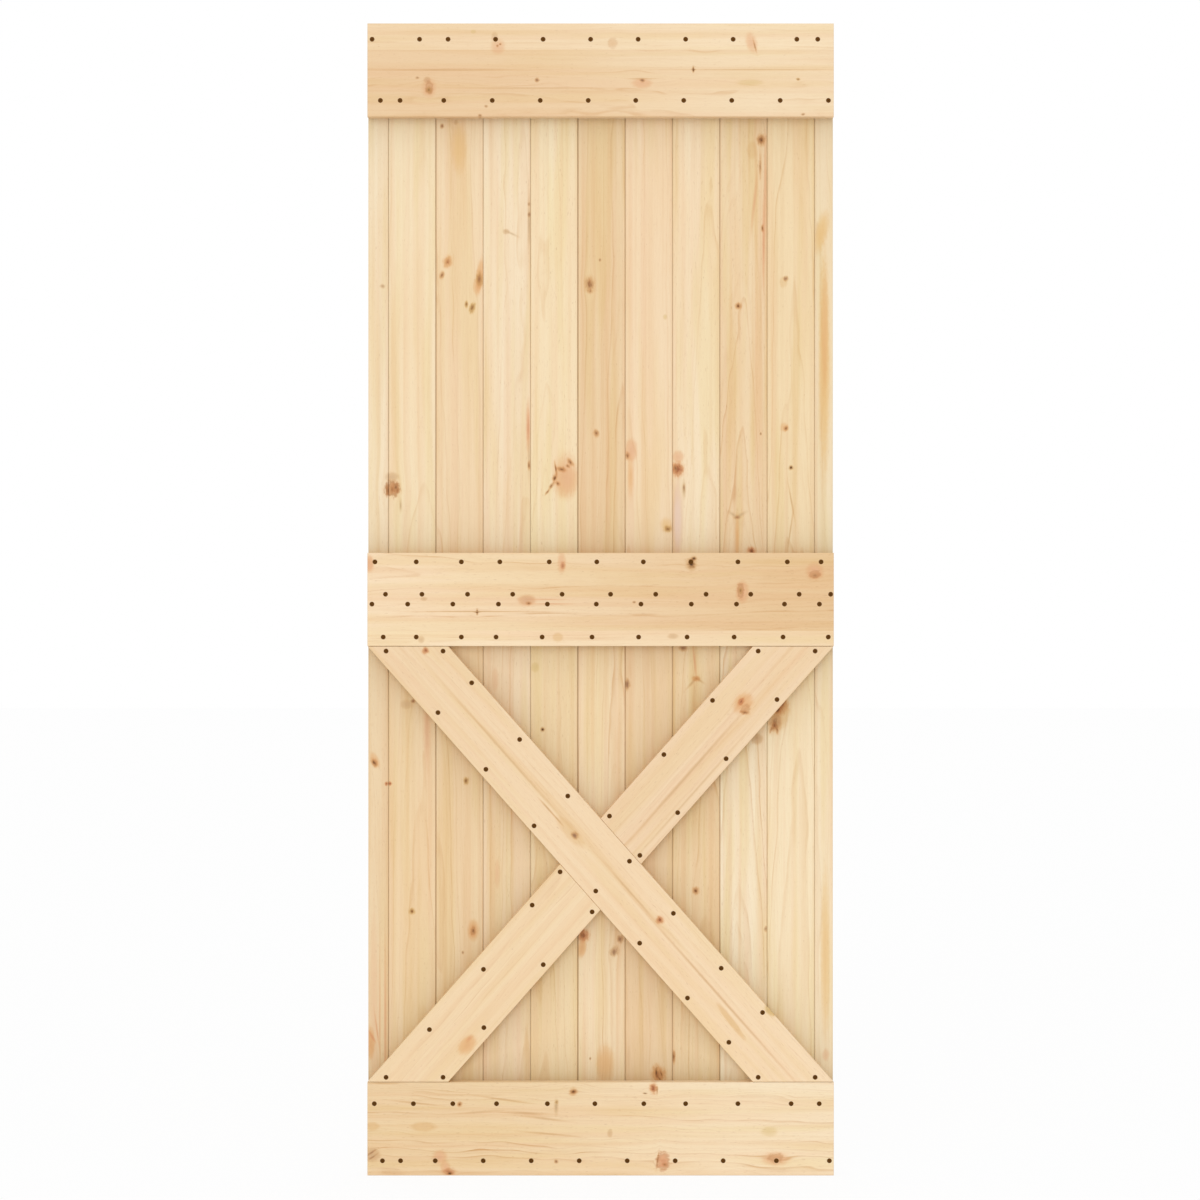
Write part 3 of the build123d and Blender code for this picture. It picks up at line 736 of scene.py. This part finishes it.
# For each rail: its tones at the left and right end; a strip that shows, as its top and bottom,
# its tone and how much of it; its wood; how much its grain waves; and its marks, which have the
# half height first and then the half length along the grain
rails = {
    "top_rail": ("#e9caa2", "#f1dab7", (0, 48, "#f8e4c3", 0.35),
                 ("#dfbc8e", (78, 62), 0.011, 5.6, 0.34, 0.7, 0.4), 3.2, (
        ("grey patch", 232, 25, 7, 5, 0.5),
        ("pink patch", 238, 42, 11, 10, 0.6),
        ("brown knot", 237, 41, 1.6, 1.8, 0.7),
        ("brown knot", 242, 38, 1.4, 1.6, 0.7),
        ("grey patch", 109, 104, 5, 5, 0.7),
        ("pink patch", 112, 117, 14, 10, 0.55),
        ("pale knot", 112, 117, 9.5, 6, 0.8),
        ("olive knot", 112, 121, 4.2, 3.6, 0.8),
        ("grey knot", 91, 99, 1.8, 3, 0.6),
        ("grey knot", 309, 103, 3.0, 3.0, 1.0),
        ("olive patch", 193, 15, 3, 4, 0.5),
        ("grey knot", 205, 168, 2.0, 2.6, 0.7),
        ("grey knot", 216, 151, 2.0, 2.6, 0.7),
        ("pale knot", 447, 36, 8, 7, 0.3),
        ("pink patch", 700, 35, 14, 8, 0.7, -15),
        ("brown knot", 706, 41, 9, 1.3, 0.5, -15),
        ("dark knot", 594, 84, 4.0, 1.5, 0.95),
        ("dark knot", 594, 84, 1.4, 3.4, 0.5),
        ("grain line", 700, 84.5, 0.9, 130, 0.55),
        ("pink patch", 500, 109, 7, 14, 0.75),
        ("grey knot", 501, 104, 2.4, 3.2, 0.9),
        ("grain line", 500, 101, 0.9, 20, 0.7),
        ("olive patch", 697, 108, 5, 19, 0.45),
        ("olive knot", 785, 102, 2.0, 2.6, 0.7),
        ("grey knot", 794, 166, 2.0, 3.0, 0.7),
        ("grain line", 140, 85, 1.2, 105, 0.7),
        ("grain line", 300, 118, 1.1, 110, 0.5),
    )),
    "middle_rail": ("#f5debd", "#e6c599", (1107, 1135, "#f8e3c1", 0.55),
                    ("#dcb98b", (-44, 66), 0.011, 4.2, 0.55, 0.7, 0.45), 1.2, (
        ("pink patch", 2, 986, 11, 8, 0.6),
        ("pink patch", 3, 983, 11, 6, 0.6),
        ("pink patch", 354, 983, 15, 6, 0.7),
        ("red knot", 356, 989, 5, 3.4, 0.55),
        ("pink patch", 291, 1052, 8, 13, 0.7),
        ("grey patch", 290, 1051, 7, 12, 0.4),
        ("brown knot", 294, 1057, 2.2, 3.4, 0.7),
        ("red streak", 328, 1050, 1, 26, 0.5),
        ("red streak", 335, 1058, 1, 28, 0.5),
        ("grey patch", 103, 1049, 3, 5, 0.6),
        ("dark knot", 200, 1073, 3.8, 1.6, 0.95),
        ("dark knot", 200, 1073, 1.2, 4, 0.6),
        ("grain line", 200, 1072, 0.9, 90, 0.9),
        ("grain line", 330, 1075, 0.9, 60, 0.4),
        ("grey patch", 98, 1123, 5, 5, 0.6),
        ("tan patch", 347, 1119, 7, 8, 0.7),
        ("dark knot", 590, 985, 7.5, 6.0, 0.95),
        ("dark knot", 595, 975, 2.6, 3.4, 0.9),
        ("pink patch", 815, 999, 12, 12, 0.8),
        ("pale knot", 815, 1004, 6, 8.5, 0.7),
        ("brown knot", 816, 1006, 4, 5.5, 0.45),
        ("pink patch", 683, 1036, 15, 9, 0.9),
        ("pale knot", 680, 1034, 11, 5, 0.9),
        ("olive knot", 680, 1034, 4.5, 2.8, 0.7),
        ("grey knot", 486, 1055, 1.8, 2.4, 0.7),
        ("grey patch", 557, 1117, 4, 8, 0.6),
    )),
    "bottom_rail": ("#ecd2aa", "#f5e2c2", None,
                    ("#d8b17e", (104, 46), 0.018, 5.6, 0.62, 0.6, 0.5), 4.0, (
        ("grain line", 29, 1932, 1.4, 26, 0.7),
        ("brown knot", 168, 1970, 3.2, 3.2, 1.0),
        ("dark knot", 168, 1971, 1.4, 1.6, 0.4),
        ("grey streak", 344, 1975, 10, 2.8, 0.8),
        ("grain line", 290, 1986, 1.9, 32, 0.6, 3),
        ("grain line", 322, 1996, 1.9, 34, 0.55, 7),
        ("grain line", 252, 1962, 1.5, 36, 0.6, 8),
        ("grain line", 205, 1984, 1.6, 34, 0.45, -4),
        ("grain line", 90, 1968, 1.4, 34, 0.6, 6),
        ("grain line", 330, 2024, 1.4, 40, 0.6, 5),
        ("olive knot", 345, 1966, 3, 2.4, 0.5),
        ("brown knot", 375, 1947, 4.6, 5.0, 1.0),
        ("dark knot", 375, 1947, 2.2, 2.4, 0.7),
        ("tan patch", 102, 2011, 7, 19, 0.8),
        ("tan patch", 8, 2010, 6, 11, 0.8),
        ("grey patch", 8, 2062, 10, 12, 0.8),
        ("grey knot", 8, 2058, 1.4, 8, 0.7, -35),
        ("grey knot", 10, 2066, 1.4, 8, 0.6, -35),
        ("pink patch", 132, 2066, 10, 10, 0.8),
        ("pink patch", 142, 2084, 8, 7, 0.7),
        ("red knot", 149, 2093, 5, 8, 0.6),
        ("dark knot", 150, 2096, 2.0, 3.4, 0.9),
        ("grey knot", 344, 2074, 2.6, 2.8, 0.95),
        ("red knot", 521, 1941, 7, 5, 1.0),
        ("brown knot", 528, 1944, 6, 1.4, 0.6),
        ("dark knot", 506, 1950, 1.2, 3, 0.6),
        ("grey patch", 442, 2023, 6, 4, 0.6),
        ("red ring", 539, 2074, 14, 10, 0.85),
        ("brown knot", 542, 2080, 2.4, 3.0, 0.6),
        ("brown knot", 529, 2072, 12, 1.2, 0.6, 8),
        ("pink patch", 744, 2070, 10, 20, 0.7),
        ("pale knot", 744, 2068, 7, 11, 0.6),
        ("olive patch", 732, 2020, 7, 12, 0.5),
    )),
}
rail_drift = (leaf_left_mm + 60, leaf_left_mm + 790)
first_rail_seed = 15.3
for number, (name, (left, right, strip, wood_kind, wander, marks)) in enumerate(rails.items()):
    planed_pine(name, rail_turn, (left, right), rail_drift, strip, None, wood_kind,
                first_rail_seed + number, marks, wander)


# Braces. A long brace runs across the lower panel from corner to corner, and two short ones
# butt against it to make a cross. The grain runs along each of them.
braces = {
    "long_brace": (brace_lean, "#efd4af", "#f4dbb8",
                   ("#dfbd90", (-30, 58), 0.011, 6.0, 0.20, 0.6, 0.38), (
        ("red knot", 106, 1143, 4.4, 4.4, 0.9),
        ("tan patch", 370, 1474, 9, 30, 0.6),
        ("grey knot", 378, 1480, 4.4, 5.6, 0.95),
        ("grain line", 328, 1430, 1.4, 16, 0.9),
        ("grain line", 346, 1450, 1.2, 12, 0.8),
        ("red knot", 533, 1634, 4.8, 5.2, 1.0),
        ("dark knot", 533, 1634, 1.6, 2.0, 0.5),
        ("grain line", 250, 1330, 2.0, 150, 0.45),
        ("grain line", 480, 1585, 1.8, 60, 0.5),
        ("grain line", 637, 1768, 2.0, 185, 0.55),
        ("tan patch", 662, 1818, 4.5, 34, 0.8, 4),
        # The olive patch here is painted shade in the chip broken out of the brace's edge
        ("olive patch", 734, 1800, 5.5, 10, 1.0),
    )),
    "upper_brace": (-brace_lean, "#efd4b1", "#efd4b1",
                    ("#dfbd90", (34, 60), 0.011, 6.4, 0.16, 0.6, 0.42), (
        ("orange patch", 685, 1239, 13, 16, 0.75),
        ("red knot", 681, 1236, 3.4, 5.5, 1.0),
        ("pale knot", 688, 1250, 7, 8, 0.6),
        ("brown knot", 688, 1256, 2.4, 6, 0.7, 60),
        ("grain line", 580, 1374, 2.6, 140, 0.6),
        ("grain line", 591, 1406, 2.0, 135, 0.35),
    )),
    "lower_brace": (-brace_lean, "#f1d8b3", "#f1d8b3",
                    ("#e0be91", (-36, 64), 0.011, 6.0, 0.26, 0.6, 0.33), (
        ("orange patch", 182, 1862, 10, 16, 0.75),
        ("red streak", 186, 1850, 2.5, 6, 0.5),
    )),
}
low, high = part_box("long_brace")
first_brace_seed = 21.9
brace_drift = (turned(Vector((low.x, 0, high.z)) * mm, brace_lean).z,
               turned(Vector((high.x, 0, low.z)) * mm, brace_lean).z)
for number, (name, (turn, first, second, wood_kind, marks)) in enumerate(braces.items()):
    planed_pine(name, turn, (first, second), brace_drift, None, None, wood_kind,
                first_brace_seed + number, marks)


# Screws. Countersunk wood screws with a cross recess sit flush in the rails and braces, one or
# two through each board. They are of bronzed steel, which looks dark brown, a little blotchy
# and dully metallic.
head_radius = 0.00445
head_sides = 12
shank_radius = 0.0022
head_set_back = 0.0001
head_rim = 0.00025
cone_depth = 0.0021
screw_length = 0.0175
recess_reach = 0.0025
recess_width = 0.0010
recess_depth = 0.0016
blade_end = (0.3, 1, 0.6)
blotch_size = 0.0012
bronze_dark = "#4f2e08"
bronze_light = "#6c4512"
bronze_smooth = 0.42
bronze_rough = 0.62
bronze_metallic = 0.8
squarely = 0.9

coating = bpy.data.materials.new("bronzed_steel")
coating.use_nodes = True
tree = coating.node_tree
shader = tree.nodes["Principled BSDF"]
place = add_node(tree, "TexCoord")
blotches = add_node(tree, "TexNoise",
                    {"Vector": place.outputs["Object"], "Scale": 1 / blotch_size, "Detail": 3.0})
shade = add_node(tree, "Mix",
                 {"Factor": blotches, "A": linear(bronze_dark), "B": linear(bronze_light)},
                 data_type="RGBA")
feed(tree, shader.inputs["Base Color"], shade)
dulled = add_node(tree, "MapRange",
                  {"Value": blotches, "To Min": bronze_smooth, "To Max": bronze_rough})
feed(tree, shader.inputs["Roughness"], dulled)
shader.inputs["Metallic"].default_value = bronze_metallic

bpy.ops.object.select_all(action="DESELECT")
bpy.ops.mesh.primitive_cylinder_add(
    vertices=head_sides, radius=head_radius, depth=cone_depth, rotation=(pi / 2, 0, 0),
    location=(0, head_set_back + cone_depth / 2, 0),
)
screw = bpy.context.object
screw.name = "screw"
bpy.ops.object.transform_apply(location=True, rotation=True, scale=True)
mesh = screw.data
bpy.ops.object.mode_set(mode="EDIT")
bpy.ops.mesh.select_mode(type="FACE")
bpy.ops.mesh.select_all(action="DESELECT")
bpy.ops.object.mode_set(mode="OBJECT")
for face in mesh.polygons:
    face.select = face.normal.y > squarely
bpy.ops.object.mode_set(mode="EDIT")
narrow = shank_radius / head_radius
bpy.ops.transform.resize(value=(narrow, 1, narrow))
bpy.ops.mesh.extrude_region_move(
    TRANSFORM_OT_translate={"value": (0, screw_length - cone_depth, 0)})
bpy.ops.mesh.select_all(action="DESELECT")
bpy.ops.object.mode_set(mode="OBJECT")
for face in mesh.polygons:
    face.select = face.normal.y < -squarely
bpy.ops.object.mode_set(mode="EDIT")
bpy.ops.mesh.inset(thickness=head_rim, depth=0)
bpy.ops.transform.translate(value=(0, -head_set_back / 2, 0))
bpy.ops.object.mode_set(mode="OBJECT")

# The recess is cut with a cross of two tapered blades
blades = []
for blade_turn in (0, pi / 2):
    bpy.ops.object.select_all(action="DESELECT")
    bpy.ops.mesh.primitive_cube_add(size=1, location=(0, 0, 0))
    blade = bpy.context.object
    blade.scale = (2 * recess_reach, 2 * recess_depth, recess_width)
    bpy.ops.object.transform_apply(location=True, rotation=True, scale=True)
    bpy.ops.object.mode_set(mode="EDIT")
    bpy.ops.mesh.select_all(action="DESELECT")
    bpy.ops.object.mode_set(mode="OBJECT")
    for face in blade.data.polygons:
        face.select = face.normal.y > squarely
    bpy.ops.object.mode_set(mode="EDIT")
    bpy.ops.transform.resize(value=blade_end)
    bpy.ops.object.mode_set(mode="OBJECT")
    blade.data.transform(Matrix.Rotation(blade_turn, 4, "Y"))
    blades.append(blade)
for blade in blades:
    cut = screw.modifiers.new("recess", "BOOLEAN")
    cut.operation = "DIFFERENCE"
    cut.solver = "EXACT"
    cut.object = blade
    bpy.context.view_layer.objects.active = screw
    bpy.ops.object.modifier_apply(modifier=cut.name)
    bpy.data.objects.remove(blade)
screw.data.materials.clear()
screw.data.materials.append(coating)
bpy.ops.object.select_all(action="DESELECT")
screw.select_set(True)
bpy.context.view_layer.objects.active = screw
bpy.ops.object.shade_smooth_by_angle(angle=radians(35))

# One piece holds the screws of each rail or brace, a copy in every hole of it. Their heads
# have twelve sides, as the holes have, and each is driven five sides farther than the last.
sides_farther = 5
next_side = sides_farther * 2 * pi / head_sides
# A hole is found by the corners where its countersink ends, and is 5.2 mm across there
hole_bottom_y = 0.002
same_depth = 1e-5
same_hole = 0.006
for name in list(rails) + list(braces):
    holes = []
    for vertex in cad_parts[name].data.vertices:
        if abs(vertex.co.y - hole_bottom_y) > same_depth:
            continue
        for hole in holes:
            if (hole[0] - vertex.co).length < same_hole:
                hole.append(vertex.co.copy())
                break
        else:
            holes.append([vertex.co.copy()])
    copies = []
    for count, hole in enumerate(holes):
        low = Vector([min(co[axis] for co in hole) for axis in range(3)])
        high = Vector([max(co[axis] for co in hole) for axis in range(3)])
        middle = (low + high) / 2
        driven = screw.copy()
        driven.data = screw.data.copy()
        spun = Matrix.Rotation(count * next_side, 4, "Y")
        driven.data.transform(Matrix.Translation((middle.x, 0, middle.z)) @ spun)
        bpy.context.collection.objects.link(driven)
        copies.append(driven)
    bpy.ops.object.select_all(action="DESELECT")
    for driven in copies:
        driven.select_set(True)
    bpy.context.view_layer.objects.active = copies[0]
    bpy.ops.object.join()
    row = bpy.context.object
    row.name = name + "_screws"
    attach(row, "root")
bpy.data.objects.remove(screw)


# Floor and light. The leaf stands on a plain white floor before a white ground, in the soft
# even light of a studio tent with one broad lamp in front of it.
floor_half = 20.0
floor_gap = 0.0005
paper_colour = "#fbfbfb"
paper_roughness = 0.9
paper_specular = 0.1
white_share = 0.9
ambient = 0.86
lamp_strength = 0.62
lamp_width = radians(50)
lamp_towards = Vector((0.15, 0.9, -0.3))


def seen_plainly(tree):
    """A share that is 1 where the camera, a reflection or clear stuff looks at the surface."""
    rays = add_node(tree, "LightPath")
    seen = rays.outputs["Is Camera Ray"]
    for way in ("Is Glossy Ray", "Is Transmission Ray"):
        seen = add_node(tree, "Math", {0: seen, 1: rays.outputs[way]}, operation="MAXIMUM")
    return seen


bpy.ops.object.select_all(action="DESELECT")
bpy.ops.mesh.primitive_plane_add(size=2 * floor_half, location=(0, 0, cad_low.z - floor_gap))
floor = bpy.context.object
floor.name = "floor"
floor_paper = bpy.data.materials.new("white_paper")
floor_paper.use_nodes = True
tree = floor_paper.node_tree
shader = tree.nodes["Principled BSDF"]
shader.inputs["Base Color"].default_value = linear(paper_colour)
shader.inputs["Roughness"].default_value = paper_roughness
shader.inputs["Specular IOR Level"].default_value = paper_specular
white = add_node(tree, "Emission", {"Color": linear("#ffffff"), "Strength": 1.0})
whitened = add_node(tree, "Math", {0: seen_plainly(tree), 1: white_share}, operation="MULTIPLY")
paper = add_node(tree, "MixShader", {0: whitened, 1: shader, 2: white})
feed(tree, tree.nodes["Material Output"].inputs["Surface"], paper)
floor.data.materials.append(floor_paper)
floor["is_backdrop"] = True

world = bpy.data.worlds.new("studio")
bpy.context.scene.world = world
world.use_nodes = True
tree = world.node_tree
strength = add_node(tree, "MapRange",
                    {"Value": seen_plainly(tree), "To Min": ambient, "To Max": 1.0})
background = tree.nodes["Background"]
background.inputs["Color"].default_value = linear("#ffffff")
feed(tree, background.inputs["Strength"], strength)

sky_lamp = bpy.data.objects.new("sky_lamp", bpy.data.lights.new("sky_lamp", "SUN"))
sky_lamp.data.energy = lamp_strength
sky_lamp.data.angle = lamp_width
sky_lamp.rotation_euler = lamp_towards.to_track_quat("-Z", "Y").to_euler()
bpy.context.collection.objects.link(sky_lamp)


# The sizes of the CAD and of everything that shows
low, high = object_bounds()
